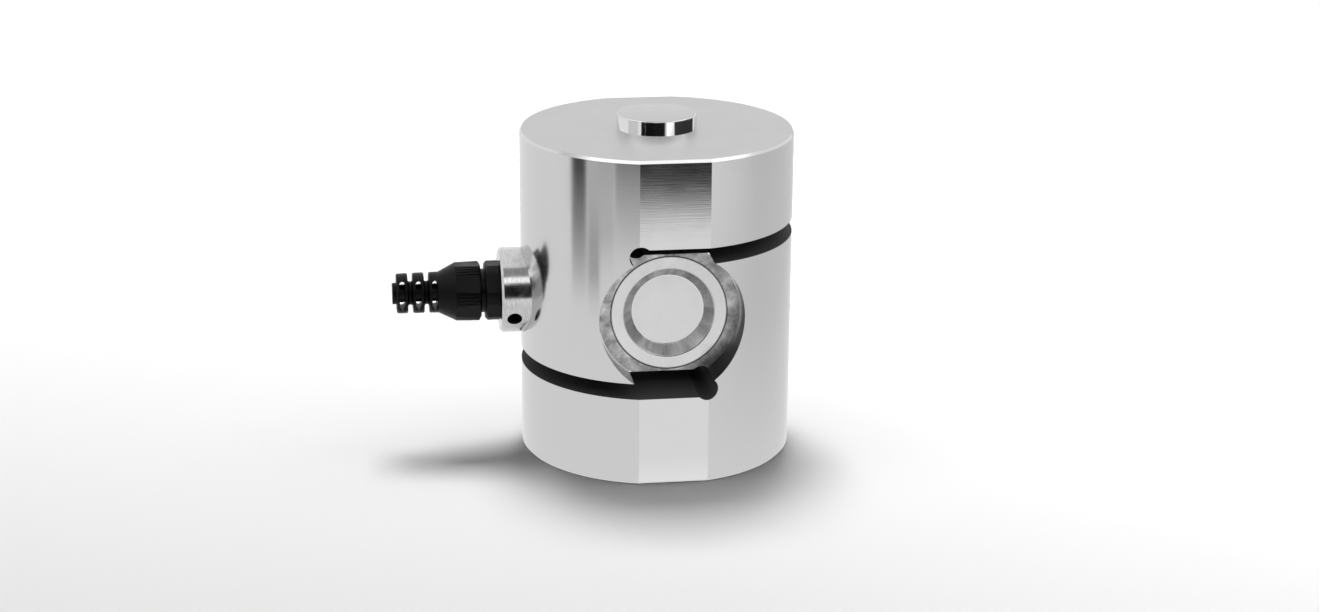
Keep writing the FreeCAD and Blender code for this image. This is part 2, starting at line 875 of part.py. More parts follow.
def make_leads():
    """Fine leads from the gauges' tabs down to the solder pads, one set on each side."""
    radius = s.lead_radius.value
    foil = s.web_thickness.value / 2 + s.gauge_thickness.value + radius
    level = MID.value - s.board_drop.value
    for side, way in (("front", -1), ("back", 1)):
        pad = board_face(way) + (s.pad_height.value + radius) * way
        wires = []
        for spot in pad_spots()[2:6]:
            tab = math.copysign(abs(spot) * s.tab_spread.value + s.tab_place.value, spot)
            points = [
                Vector(tab, foil * way, MID.value + s.tab_rise.value),
                Vector(tab, foil * way, MID.value - s.tab_drop.value),
                Vector(tab * 0.6 + spot * 0.4, pad + radius * way, level + s.lead_bow_rise.value),
                Vector(spot, pad, level + s.lead_end_rise.value),
                Vector(spot, pad, level - s.lead_end_drop.value),
            ]
            wires.append(wire_along(points, radius))
        add_shape(f"{side}_gauge_leads", Part.makeCompound(wires))


def make_trim_links():
    """Two leads past the back gauges, from the terminal board up to the trim board."""
    radius = s.lead_radius.value
    pad = board_face(1) + s.pad_height.value + radius
    low = MID.value - s.board_drop.value
    high = MID.value + s.trim_rise.value
    wires = []
    bow = s.link_bow.value
    lifted = pad + s.link_lift.value
    for number, spot in enumerate(pad_spots()[6:]):
        out = s.link_way_out.value + s.link_pitch.value * number
        end = s.link_end.value * (2 * number - 1)
        points = [
            Vector(spot, pad, low - s.lead_end_drop.value),
            Vector(spot, pad, low + s.lead_end_rise.value),
            Vector(out - bow, lifted, low + s.lead_bow_rise.value + 0.3),
            Vector(out, lifted, MID.value + 1.4),
            Vector(out - bow, lifted, MID.value + 4.8),
            Vector(end + 3, pad + bow, high + 0.4),
            Vector(end, pad, high),
        ]
        wires.append(wire_along(points, radius))
    add_shape("trim_links", Part.makeCompound(wires))


def make_port_sealant():
    """Sealant round the sheath where it ends inside the collar."""
    body = new_body("port_sealant")
    side = axial_sketch(body, "SealantSection")
    start = s.sheath_inner_end + s.core_radius
    block(side, -s.socket_end, -start, s.cable_radius, s.collar_bore)
    turn(body, "Sealant", side, "H_Axis")


def make_gel():
    """Clear gel that covers the gauges, boards and leads at the bottom of each pocket."""
    doc.recompute()
    inside = [part.Shape for part in parts if part.Label.startswith(("gauge", "core", "trim"))]
    inside += [part.Shape for part in parts if "terminal" in part.Label or "leads" in part.Label]
    for side, way in (("front", -1), ("back", 1)):
        start = Vector(0, s.web_thickness.value / 2 * way, MID.value)
        depth, radius = s.gel_depth.value, s.pocket_radius.value
        whole = Part.makeCylinder(radius, depth, start, Vector(0, way, 0))
        box = whole.BoundBox
        near = [shape for shape in inside if shape.BoundBox.intersect(box)]
        add_shape(f"{side}_gel", whole.cut(near))


def finish():
    """Checks every object, then writes each sub-part to its own file."""
    doc.recompute()
    for thing in doc.Objects:
        if "Invalid" in thing.State or "Error" in thing.State:
            raise RuntimeError(f"{thing.Name} failed: {thing.State}")
    os.makedirs("parts", exist_ok=True)
    for part in parts:
        shape = part.Shape
        if shape.isNull() or not shape.isValid():
            raise RuntimeError(f"{part.Label} has no valid shape")
    for part in parts:
        shape = part.Shape
        shape.exportStep(os.path.join("parts", f"{part.Label}.step"))
        box = shape.BoundBox
        print(f"{part.Label:22s} {shape.Volume:11.2f} mm3, {len(shape.Solids)} solid,", end=" ")
        print(f"x {box.XMin:.2f} {box.XMax:.2f}, y {box.YMin:.2f} {box.YMax:.2f},", end=" ")
        print(f"z {box.ZMin:.2f} {box.ZMax:.2f}")


make_measuring_body()
make_load_button()
make_sealing_cup("front_sealing_cup", -1)
make_sealing_cup("back_sealing_cup", 1)
make_collar()
make_seal_ring("collar_seal_ring", s.collar_seat, s.seal_ring_radius, s.seal_ring_section)
make_gland_body()
make_seal_ring("gland_seal_ring", s.collar_end, s.gland_ring_radius, s.gland_ring_section)
make_cable_seal()
make_dome_nut()
make_cable()
make_cores()
make_gauges()
make_boards()
make_trim_resistors()
make_leads()
make_trim_links()
make_port_sealant()
make_gel()
finish()
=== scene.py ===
"""Looks of a strain gauge load cell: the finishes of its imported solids, threads and wire strands, and the
studio floor, lamps, reflection cards and camera that show it."""

import math

import bpy
import numpy as np
from bpy.props import FloatProperty, FloatVectorProperty, IntProperty, PointerProperty
from bpy.types import Operator, Panel, PropertyGroup
from mathutils import Euler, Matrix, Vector


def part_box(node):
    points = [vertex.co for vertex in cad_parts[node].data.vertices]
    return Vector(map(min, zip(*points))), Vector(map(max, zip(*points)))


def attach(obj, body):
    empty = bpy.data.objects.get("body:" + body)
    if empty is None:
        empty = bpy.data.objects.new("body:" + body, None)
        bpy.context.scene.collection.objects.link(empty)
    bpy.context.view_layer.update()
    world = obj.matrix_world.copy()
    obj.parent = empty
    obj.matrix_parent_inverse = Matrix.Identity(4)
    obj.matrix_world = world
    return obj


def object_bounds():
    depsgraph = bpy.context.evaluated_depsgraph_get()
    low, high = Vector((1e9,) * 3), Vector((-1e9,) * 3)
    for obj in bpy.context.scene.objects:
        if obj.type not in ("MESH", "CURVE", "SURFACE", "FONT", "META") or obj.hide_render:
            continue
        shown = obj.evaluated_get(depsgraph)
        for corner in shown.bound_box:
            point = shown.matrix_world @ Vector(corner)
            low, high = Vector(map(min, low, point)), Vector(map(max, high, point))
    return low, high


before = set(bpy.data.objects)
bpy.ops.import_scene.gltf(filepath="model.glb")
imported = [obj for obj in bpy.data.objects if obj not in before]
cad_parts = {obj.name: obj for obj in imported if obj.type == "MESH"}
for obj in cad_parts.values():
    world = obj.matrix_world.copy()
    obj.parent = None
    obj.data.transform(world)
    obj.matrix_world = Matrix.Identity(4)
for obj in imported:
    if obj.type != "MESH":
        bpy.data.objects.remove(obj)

bl_info = {
    "name": "Load Cell Looks",
    "version": (1, 0, 0),
    "blender": (4, 5, 0),
    "location": "3D View > Sidebar > Load Cell",
    "description": "Finishes, threads, wire strands, studio and camera for a canister load cell",
    "category": "Object",
}

MM = 0.001
CAD_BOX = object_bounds()
BODY_LOW, BODY_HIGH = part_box("measuring_body")
HEIGHT = BODY_HIGH.z
RADIUS = BODY_HIGH.x
FLAT = BODY_HIGH.y
MID = 0.5 * HEIGHT
RECESS_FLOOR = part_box("back_sealing_cup")[1].y
CUP_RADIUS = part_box("back_sealing_cup")[1].x
FLAT_HALF = math.sqrt(RADIUS**2 - FLAT**2)

# The camera's place in metres and its turn in degrees, fitted to the photograph
EYE = Vector((-0.0932342, -0.6510245, 0.2513231))
EYE_TURN = (72.07404506, -0.38338645, -8.13614166)

# How far a finish reaches past the edge of the face that it is for
EDGE = 0.05 * MM
CLOSE_EDGE = 0.03 * MM

# Widths of the painted highlight in the recess's corner and of the painted shade in the seam round the cup
CORNER_WIDTH = 0.4 * MM
SEAM_WIDTH = 0.25 * MM

# Between which places left and right of the axis the recess's wall goes from pale to dark, as painted shade
WALL_FADE = (4.0 * MM, 12.0 * MM)

# Widths of the painted shade round a cup's flange and of the painted reflection lines at the edges of its dish
RIM_WIDTH = 0.22 * MM
DISH_EDGE = 0.2 * MM

# The collar's pin holes, whose walls are in painted shade: where they lie along it, and how far their walls
# stay from its surface
PIN_HOLES = (1.2 * MM, 5.6 * MM)
PIN_HOLE_EDGE = 0.15 * MM

# How far under the button's top its crown and its chamfer end, and how far its wall's shine leans up
CROWN_DEPTH = 0.47 * MM
CHAMFER_DEPTH = 0.9 * MM
BUTTON_LEAN = 0.28

COPPER = (0.80, 0.42, 0.26)

# Turning marks: how many cells of noise to a metre across them and along them
FINE_MARKS = 5200.0
SLOW_MARKS = 45.0
LONG_MARKS = 60.0


# Shader helpers

class Finish:
    """One material and its node tree, with a short call for each kind of node."""

    def __init__(self, name, colour, metallic, roughness):
        self.material = bpy.data.materials.new(name)
        self.material.use_nodes = True
        self.tree = self.material.node_tree
        self.tree.nodes.clear()
        self.shader = self.node("ShaderNodeBsdfPrincipled")
        self.shader.inputs["Base Color"].default_value = (*colour, 1.0)
        self.shader.inputs["Metallic"].default_value = metallic
        self.shader.inputs["Roughness"].default_value = roughness
        output = self.node("ShaderNodeOutputMaterial")
        self.tree.links.new(self.shader.outputs["BSDF"], output.inputs["Surface"])
        self.place = self.node("ShaderNodeTexCoord").outputs["Object"]
        split = self.node("ShaderNodeSeparateXYZ", Vector=self.place)
        self.x, self.y, self.z = split.outputs

    def node(self, kind, **inputs):
        """Add a node and give its named inputs a value or a link."""
        new = self.tree.nodes.new(kind)
        for label, value in inputs.items():
            self.give(new.inputs[label.replace("_", " ")], value)
        return new

    def give(self, socket, value):
        """Link a socket to another one, or set its value."""
        if isinstance(value, bpy.types.NodeSocket):
            self.tree.links.new(value, socket)
        else:
            socket.default_value = value

    def math(self, operation, first, second=0.0):
        """One Math node's result."""
        new = self.node("ShaderNodeMath")
        new.operation = operation
        self.give(new.inputs[0], first)
        self.give(new.inputs[1], second)
        return new.outputs[0]

    def radius_about(self, first, second, centre=0.0):
        """Distance from an axis: the root of first squared plus the square of second less centre."""
        across = self.math("SUBTRACT", second, centre)
        return self.math("SQRT", self.math("ADD", self.times(first, first), self.times(across, across)))

    def between(self, value, low, high):
        """1 where value lies between low and high, and 0 elsewhere."""
        return self.times(self.math("GREATER_THAN", value, low), self.math("LESS_THAN", value, high))

    def stretched(self, first, second, third):
        """A place made of three values."""
        return self.node("ShaderNodeCombineXYZ", X=first, Y=second, Z=third).outputs[0]

    def noise(self, place, scale, detail=2.0, roughness=0.5):
        """Noise from 0 to 1 at a scale in cells a metre."""
        new = self.node("ShaderNodeTexNoise", Vector=place, Scale=scale, Detail=detail, Roughness=roughness)
        return new.outputs["Fac"]

    def sectors(self, first, second, count):
        """Noise that changes with the angle about an axis and hardly with the distance from it."""
        reach = self.radius_about(first, second)
        turned = self.stretched(self.math("DIVIDE", self.times(first, count), reach),
                                self.math("DIVIDE", self.times(second, count), reach),
                                self.times(reach, 90.0))
        return self.noise(turned, 1.0, 4.0, 0.6)

    def dimmed(self, colour, shade):
        """A colour times a shade."""
        new = self.node("ShaderNodeVectorMath", Vector=colour)
        new.operation = "SCALE"
        self.give(new.inputs["Scale"], shade)
        return new.outputs[0]

    def spread(self, value, low, high):
        """Carry noise between 0.3 and 0.7 to the range from low to high."""
        return self.ramp(value, 0.3, 0.7, low, high)

    def ramp(self, value, start, end, low=0.0, high=1.0):
        """Carry a value between start and end to the range from low to high, and hold it past them."""
        new = self.node("ShaderNodeMapRange", Value=value, From_Min=start, From_Max=end,
                        To_Min=low, To_Max=high)
        return new.outputs[0]

    def times(self, first, second):
        """One value times another."""
        return self.math("MULTIPLY", first, second)

    def marks(self, across, aside, along, fine, slow):
        """Noise in thin lines: fine cells across them and slow ones the other two ways."""
        return self.noise(self.stretched(self.times(across, fine), self.times(aside, slow),
                                         self.times(along, slow)), 1.0, 3.0, 0.7)

    def blend(self, share, first, second):
        """The mix of two values, by share."""
        new = self.node("ShaderNodeMix", Factor=share)
        self.give(new.inputs["A"], first)
        self.give(new.inputs["B"], second)
        return new.outputs["Result"]

    def tint(self, share, first, second):
        """The mix of two colours, by share."""
        new = self.node("ShaderNodeMix")
        new.data_type = "RGBA"
        self.give(new.inputs["Factor"], share)
        for label, value in (("A", first), ("B", second)):
            self.give(new.inputs[label], value if isinstance(value, bpy.types.NodeSocket) else (*value, 1.0))
        return new.outputs["Result"]

    def colour(self, value):
        """Set the shader's base colour from a node."""
        self.give(self.shader.inputs["Base Color"], value)

    def rough(self, value):
        """Set the shader's roughness from a node."""
        self.give(self.shader.inputs["Roughness"], value)

    def leaning(self, share):
        """The surface's own normal, leaned upwards by a share of its length."""
        natural = self.node("ShaderNodeNewGeometry").outputs["Normal"]
        leaned = self.node("ShaderNodeVectorMath")
        self.give(leaned.inputs[0], natural)
        self.give(leaned.inputs[1], self.stretched(0.0, 0.0, share))
        unit = self.node("ShaderNodeVectorMath", Vector=leaned.outputs[0])
        unit.operation = "NORMALIZE"
        return unit.outputs[0]

    def relief(self, height, depth, strength=1.0, under=None):
        """Bump the surface by height times depth in metres, over an earlier bump if there is one."""
        new = self.node("ShaderNodeBump", Height=height, Distance=depth, Strength=strength)
        if under is not None:
            self.give(new.inputs["Normal"], under)
        self.give(self.shader.inputs["Normal"], new.outputs["Normal"])
        return new.outputs["Normal"]


def wear(names, material):
    """Put a material in every slot of the named CAD nodes."""
    for name in names:
        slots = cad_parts[name].data.materials
        slots.clear()
        slots.append(material)


# Mesh helpers

def grid_mesh(name, grid, ring, material, slot):
    """A piece from a grid of points, rows by columns by 3.

    Each cell between neighbouring rows and columns is one face. With ring, the last column joins the
    first, and the first and last rows are closed by one flat face each."""
    rows, columns = grid.shape[:2]
    number = np.arange(rows * columns).reshape(rows, columns)
    ahead = np.roll(number, -1, axis=1) if ring else number[:, 1:]
    here = number if ring else number[:, :-1]
    faces = np.stack([here[:-1], ahead[:-1], ahead[1:], here[1:]], axis=-1).reshape(-1, 4).tolist()
    if ring:
        faces.append(number[0, ::-1].tolist())
        faces.append(number[-1].tolist())
    mesh = bpy.data.meshes.new(name)
    mesh.from_pydata(grid.reshape(-1, 3), [], faces)
    mesh.materials.append(material)
    mesh.update()
    piece = bpy.data.objects.new(name, mesh)
    bpy.context.scene.collection.objects.link(piece)
    if slot:
        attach(piece, "root")
    return piece


def helix_ridge(turns, pitch, start, root, crest, sides):
    """Points of a thread's ridge about the Z axis.

    A section of five corners, two at the root, two at the crest and one sunk behind the root, is carried
    round the axis: at turn t it lies at angle 2 pi t and height start + pitch t. The crest and the width
    shrink to nothing over the first and last half turn, so the thread runs out into the wall."""
    turn = np.linspace(0.0, turns, int(turns * sides) + 1)[:, None]
    fade = np.clip(np.minimum(turn, turns - turn) / 0.5, 0.02, 1.0)
    sink = 0.08 * np.sign(root - crest) * pitch
    reach = np.array([sink, 0.0, crest - root, crest - root, 0.0])[None, :]
    width = pitch * np.array([0.0, -0.42, -0.07, 0.07, 0.42])[None, :]
    radius = root + reach * fade
    height = start + pitch * turn + width * fade
    angle = 2.0 * math.pi * turn
    grid = np.stack([radius * np.cos(angle), radius * np.sin(angle), height + 0.0 * radius], axis=-1)
    return grid[:, ::-1] if crest > root else grid


# Sizes and colours

class SteelSettings(PropertyGroup):
    body: FloatVectorProperty(name="Body", description="Colour of the plated body", subtype="COLOR",
                              size=3, min=0.0, max=1.0, default=(0.65, 0.65, 0.655))
    button: FloatVectorProperty(name="Button", description="Colour of the hard load button", subtype="COLOR",
                                size=3, min=0.0, max=1.0, default=(0.70, 0.70, 0.70))
    cup: FloatVectorProperty(name="Cup", description="Colour of the sealing cups", subtype="COLOR",
                             size=3, min=0.0, max=1.0, default=(0.67, 0.67, 0.67))
    collar: FloatVectorProperty(name="Collar", description="Colour of the turned collar", subtype="COLOR",
                                size=3, min=0.0, max=1.0, default=(0.66, 0.66, 0.66))


class NylonSettings(PropertyGroup):
    nylon: FloatVectorProperty(name="Nylon", description="Colour of the gland and its boot", subtype="COLOR",
                               size=3, min=0.0, max=1.0, default=(0.004, 0.004, 0.0042))
    rubber: FloatVectorProperty(name="Rubber", description="Colour of the seals", subtype="COLOR",
                                size=3, min=0.0, max=1.0, default=(0.008, 0.008, 0.008))


class SlotSettings(PropertyGroup):
    height: FloatProperty(name="Slot height", description="Height of each slot", unit="LENGTH",
                          subtype="DISTANCE", precision=5, min=0.0, default=4.3 * MM)
    offset: FloatProperty(name="Slot offset", description="Slot middle above or below the body's middle",
                          unit="LENGTH", subtype="DISTANCE", precision=5, min=0.0, default=18.6 * MM)
    end: FloatProperty(name="Slot end", description="Relief hole's place left or right of the axis",
                       unit="LENGTH", subtype="DISTANCE", precision=5, min=0.0, default=9.0 * MM)
    relief: FloatProperty(name="Relief hole", description="Radius of the hole that ends each slot",
                          unit="LENGTH", subtype="DISTANCE", precision=5, min=0.0, default=3.0 * MM)
    # Spark-cut faces are duller than turned steel; their near-black colour is mostly painted shade inside the
    # slots and relief holes
    colour: FloatVectorProperty(name="Cut steel", description="Colour of the spark-cut faces", subtype="COLOR",
                                size=3, min=0.0, max=1.0, default=(0.11, 0.11, 0.11))
    recess: FloatProperty(name="Recess", description="Radius of the round recess", unit="LENGTH",
                          subtype="DISTANCE", precision=5, min=0.0, default=19.6 * MM)


class CupSettings(PropertyGroup):
    dish_mouth: FloatProperty(name="Dish mouth", description="Radius of the dish where it meets the flange",
                              unit="LENGTH", subtype="DISTANCE", precision=5, min=0.0, default=12.3 * MM)
    dish_floor: FloatProperty(name="Dish floor", description="Radius of the dish's flat floor",
                              unit="LENGTH", subtype="DISTANCE", precision=5, min=0.0, default=9.8 * MM)


class ThreadSettings(PropertyGroup):
    root: FloatProperty(name="Root", description="Radius of the tapped hole's thread at its root",
                        unit="LENGTH", subtype="DISTANCE", precision=5, min=0.0, default=6.0 * MM)
    crest: FloatProperty(name="Crest", description="Radius of the thread at its crest",
                         unit="LENGTH", subtype="DISTANCE", precision=5, min=0.0, default=5.1 * MM)
    pitch: FloatProperty(name="Pitch", description="Rise of the thread in one turn",
                         unit="LENGTH", subtype="DISTANCE", precision=5, min=0.0, default=1.75 * MM)
    turns: FloatProperty(name="Turns", description="Number of turns cut in the hole", min=1.0, default=9.5)
    start: FloatProperty(name="Start", description="Height of the first turn above the base",
                         unit="LENGTH", subtype="DISTANCE", precision=5, min=0.0, default=1.9 * MM)
    sides: IntProperty(name="Sides", description="Faces in one turn of the thread", min=8, default=24)


class StrandSettings(PropertyGroup):
    radius: FloatProperty(name="Radius", description="Radius of a core's bundle of copper wires",
                          unit="LENGTH", subtype="DISTANCE", precision=6, min=0.0, default=0.28 * MM)
    reach: FloatProperty(name="Reach", description="How far the wires stand out of the cut insulation",
                         unit="LENGTH", subtype="DISTANCE", precision=6, min=0.0, default=0.03 * MM)
    twist: FloatProperty(name="Twist", description="Turn of the wires over their reach", unit="ROTATION",
                         subtype="ANGLE", default=0.25)


class StageSettings(PropertyGroup):
    floor: FloatProperty(name="Floor", description="Paleness of the floor under the object",
                         min=0.0, max=1.0, default=0.87)
    key_power: FloatProperty(name="Key lamp", description="Power of the soft lamp above", unit="POWER",
                             min=0.0, default=37.2)
    ambient: FloatProperty(name="Ambient", description="Light from all round", min=0.0, default=0.06)
    lens: FloatProperty(name="Lens", description="Focal length of the camera", unit="CAMERA",
                        min=10.0, default=67.43356)


def settings():
    """The settings that the operators read."""
    return bpy.context.scene.load_cell


class LoadCellSettings(PropertyGroup):
    steel: PointerProperty(type=SteelSettings)
    slots: PointerProperty(type=SlotSettings)
    cup: PointerProperty(type=CupSettings)
    thread: PointerProperty(type=ThreadSettings)
    strand: PointerProperty(type=StrandSettings)
    nylon: PointerProperty(type=NylonSettings)
    stage: PointerProperty(type=StageSettings)


# Steel finishes

def cut_faces(finish, slots):
    """1 on the slots' level faces and relief holes, and 0 elsewhere.

    A slot's faces lie half its height above and below its middle, on the open side of its relief hole, and
    the hole's wall lies at the hole's radius from its axis."""
    found = 0.0
    margin = 0.04 * MM
    half = 0.5 * slots.height
    for way in (1.0, -1.0):
        across = finish.times(finish.x, way)
        rise = finish.math("ABSOLUTE", finish.math("SUBTRACT", finish.z, MID + way * slots.offset))
        face = finish.between(rise, half - margin, half + margin)
        face = finish.times(face, finish.math("GREATER_THAN", across, -slots.end))
        from_hole = finish.radius_about(rise, across, -slots.end)
        hole = finish.math("LESS_THAN", from_hole, slots.relief + CLOSE_EDGE)
        found = finish.math("MAXIMUM", found, finish.math("MAXIMUM", face, hole))
    return found


def plated_body(colour, slots):
    """Turned and plated steel: fine rings round the outside and on the ends, the ends painted a shade darker,
    a turned ring in the recesses with painted reflection, their walls in painted shade with a painted
    highlight at the corner and painted shade in the seam round the cup, and spark-cut slots painted nearly
    black as painted shade."""
    finish = Finish("plated_steel", colour, 1.0, 0.1)
    x, y, z = finish.x, finish.y, finish.z
    up = finish.math("SUBTRACT", z, MID)
    axis = finish.radius_about(x, y)
    dish = finish.radius_about(x, up)
    depth = finish.math("ABSOLUTE", y)

    # Which part of the body a point is on
    round_recess = finish.math("LESS_THAN", dish, slots.recess + EDGE)
    inside = finish.times(round_recess, finish.math("LESS_THAN", depth, FLAT - 2.0 * EDGE))
    deep = finish.times(round_recess, finish.math("LESS_THAN", depth, RECESS_FLOOR + EDGE))
    wall = finish.math("SUBTRACT", inside, deep)
    corner = finish.times(deep, finish.math("GREATER_THAN", dish, slots.recess - CORNER_WIDTH))
    seam = finish.times(deep, finish.math("LESS_THAN", dish, CUP_RADIUS + SEAM_WIDTH))
    ring_floor = finish.math("SUBTRACT", finish.math("SUBTRACT", deep, corner), seam)
    ends = finish.math("GREATER_THAN", finish.math("ABSOLUTE", up), MID - 2.0 * EDGE)
    flat = finish.math("GREATER_THAN", depth, FLAT - CLOSE_EDGE)
    cut = cut_faces(finish, slots)

    # Turning marks, pits and clouds, and the sectors and blotches of the ring floor's painted reflection
    ring = finish.blend(inside, finish.blend(ends, z, axis), dish)
    lines = finish.marks(ring, x, finish.math("ADD", y, z), FINE_MARKS, SLOW_MARKS)
    pits = finish.noise(finish.place, 7000.0, 2.0)
    cloud = finish.noise(finish.place, 90.0, 3.0)
    mottle = finish.noise(finish.place, 520.0, 3.0, 0.6)
    patches = finish.sectors(x, up, 1.9)
    blotches = finish.noise(finish.place, 210.0, 4.0, 0.65)

    # Shade of each part
    # Painted reflection: the turned ring floor painted in light and dark sectors round the axis and in random
    # blotches, over a faint random mottle of the steel's own tone
    painted_ring_sheen = finish.times(finish.spread(patches, 0.45, 1.40), finish.spread(blotches, 0.35, 1.50))
    painted_ring_sheen = finish.times(painted_ring_sheen, finish.spread(mottle, 0.85, 1.0))
    # Painted shade: the recess's wall painted darker than the round side, darkest on the right of the front
    # recess and on the left of the back one
    aside = finish.times(x, finish.math("SIGN", finish.times(y, -1.0)))
    painted_wall_shade = finish.ramp(aside, *WALL_FADE, 0.75, 0.12)
    # Painted shade: the end faces painted a shade darker than the round side, with a faint random cloud
    outside = finish.blend(ends, 1.0, finish.spread(cloud, 0.80, 0.86))
    # Painted highlight: a thin bright line on the ring floor at the foot of the recess's wall
    outside = finish.blend(corner, outside, 1.4)
    shade = finish.blend(ring_floor, finish.blend(wall, outside, painted_wall_shade), painted_ring_sheen)
    # Painted shade: the body's seat in the seam round the cup painted dark
    shade = finish.blend(seam, shade, 0.12)
    # Painted shade: the slots' faces and relief holes tinted nearly black
    finish.colour(finish.dimmed(finish.tint(cut, colour, slots.colour), shade))

    # Roughness of each part, and relief
    smooth = finish.blend(ends, finish.blend(flat, 0.12, 0.075), 0.36)
    by_part = finish.blend(ring_floor, finish.blend(wall, smooth, 0.35), finish.spread(mottle, 0.34, 0.50))
    finish.rough(finish.blend(cut, finish.math("ADD", finish.spread(cloud, 0.0, 0.04), by_part), 0.7))
    skin = finish.relief(finish.blend(cut, lines, pits), 0.004 * MM)
    finish.relief(finish.times(mottle, ring_floor), 0.04 * MM, under=skin)
    return finish.material


def turned_steel(name, colour, centre, roughness, depth, fine):
    """Turned steel with rings about the Y axis through centre, or about X where centre is None."""
    finish = Finish(name, colour, 1.0, roughness)
    up = finish.math("SUBTRACT", finish.z, MID)
    if centre is None:
        ring = finish.x
        around = finish.y
        patches = finish.sectors(finish.y, up, 3.0)
    else:
        ring = finish.radius_about(finish.x, up)
        around = finish.x
        patches = finish.noise(finish.place, 70.0, 3.0)
    lines = finish.marks(ring, around, finish.z, fine, LONG_MARKS)
    mottle = finish.noise(finish.place, 500.0, 2.0)
    shade = finish.times(finish.spread(patches, 0.90, 1.0), finish.spread(mottle, 0.94, 1.0))
    finish.colour(finish.dimmed(colour, shade))
    finish.rough(finish.spread(mottle, roughness - 0.04, roughness + 0.06))
    skin = finish.relief(lines, depth)
    finish.relief(mottle, 2.0 * depth, under=skin)
    return finish


def cup_steel(colour, cup):
    """A cup's turned steel, with a duller cone round its dish in painted reflection, painted reflection lines
    at the dish's edges and painted shade on the rim in its seam.
    """
    finish = turned_steel("cup_steel", colour, MID, 0.2, 0.003 * MM, 4200.0)
    up = finish.math("SUBTRACT", finish.z, MID)
    dish = finish.radius_about(finish.x, up)
    cone = finish.between(dish, cup.dish_floor, cup.dish_mouth)
    rim = finish.math("GREATER_THAN", dish, CUP_RADIUS - RIM_WIDTH)
    painted_cone_sheen = finish.sectors(finish.x, up, 2.6)
    edge = finish.between(dish, cup.dish_mouth - EDGE, cup.dish_mouth + DISH_EDGE)
    foot = finish.between(dish, cup.dish_floor - DISH_EDGE, cup.dish_floor + EDGE)
    shader = finish.shader.inputs
    plain = shader["Base Color"].links[0].from_socket
    # Painted reflection: the cone round the dish painted in light and dark sectors round the axis, and the
    # rest of the cup a touch paler
    shade = finish.blend(cone, 1.08, finish.spread(painted_cone_sheen, 0.60, 1.75))
    # Painted reflection: a dark line at the dish's mouth and a painted highlight at the foot of its cone
    shade = finish.blend(edge, finish.blend(foot, shade, 1.3), 0.72)
    # Painted shade: the flange's outer rim, in the seam round the cup, painted darker
    finish.colour(finish.dimmed(plain, finish.blend(rim, shade, 0.5)))
    finish.rough(finish.blend(cone, shader["Roughness"].links[0].from_socket, 0.42))
    return finish.material


def collar_steel(colour):
    """The collar's turned steel, streaked by the tool, with the walls of its two pin holes painted dark as
    painted shade.
    """
    finish = turned_steel("collar_steel", colour, None, 0.14, 0.006 * MM, FINE_MARKS)
    low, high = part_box("collar")
    reach = finish.radius_about(finish.y, finish.math("SUBTRACT", finish.z, MID))
    outside = 0.5 * (high.z - low.z)
    sunk = finish.between(reach, 0.6 * outside, outside - PIN_HOLE_EDGE)
    along = finish.between(finish.x, low.x + PIN_HOLES[0], low.x + PIN_HOLES[1])
    hole = finish.times(sunk, along)
    streaks = finish.marks(finish.x, finish.y, finish.z, 2600.0, 420.0)
    shader = finish.shader.inputs
    # Painted shade: the pin holes' walls painted nearly black over the tool's streaks
    by_part = finish.blend(hole, finish.spread(streaks, 0.82, 1.06), 0.1)
    finish.colour(finish.dimmed(shader["Base Color"].links[0].from_socket, by_part))
    finish.rough(finish.blend(hole, shader["Roughness"].links[0].from_socket, 0.5))
    return finish.material


def polished_steel(colour):
    """Hard ground steel: a mirror round the wall, which shines as if it leaned up by a share of its
    normal's length, and a satin crown with faint rings, painted a shade darker than the wall as painted shade."""
    finish = Finish("ground_button_steel", colour, 1.0, 0.07)
    ring = finish.radius_about(finish.x, finish.y)
    lay = finish.stretched(finish.times(ring, 4000.0), finish.times(finish.x, LONG_MARKS),
                           finish.times(finish.z, LONG_MARKS))
    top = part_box("load_button")[1].z
    crown = finish.math("GREATER_THAN", finish.z, top - CROWN_DEPTH)
    wall = finish.math("LESS_THAN", finish.z, top - CHAMFER_DEPTH)
    cloud = finish.noise(finish.place, 200.0)
    finish.rough(finish.blend(crown, finish.spread(cloud, 0.05, 0.09), finish.spread(cloud, 0.28, 0.34)))
    # Painted shade: the crown painted a shade darker than the wall
    finish.colour(finish.dimmed(colour, finish.blend(crown, 1.0, 0.76)))
    leaned = finish.leaning(finish.times(wall, BUTTON_LEAN))
    finish.relief(finish.noise(lay, 1.0, 3.0), 0.0006 * MM, under=leaned)
    return finish.material


class LOADCELL_OT_steel(Operator):
    """Give the body, button, cups and collar their turned and ground steel"""

    bl_idname = "loadcell.steel"
    bl_label = "Steel Finishes"

    def execute(self, context):
        steel = settings().steel
        wear(["measuring_body"], plated_body(steel.body, settings().slots))
        wear(["load_button"], polished_steel(steel.button))
        wear(["front_sealing_cup", "back_sealing_cup"], cup_steel(steel.cup, settings().cup))
        wear(["collar"], collar_steel(steel.collar))
        return {"FINISHED"}


class LOADCELL_OT_thread(Operator):
    """Cut the thread in the tapped hole of the base"""

    bl_idname = "loadcell.thread"
    bl_label = "Base Thread"

    def execute(self, context):
        thread = settings().thread
        ridge = helix_ridge(thread.turns, thread.pitch, thread.start, thread.root, thread.crest, thread.sides)
        finish = turned_steel("thread_steel", settings().steel.body, None, 0.3, 0.002 * MM, 3000.0)
        grid_mesh("base_thread", ridge, True, finish.material, "body_steel")
        return {"FINISHED"}


# Plastic, rubber and cable finishes

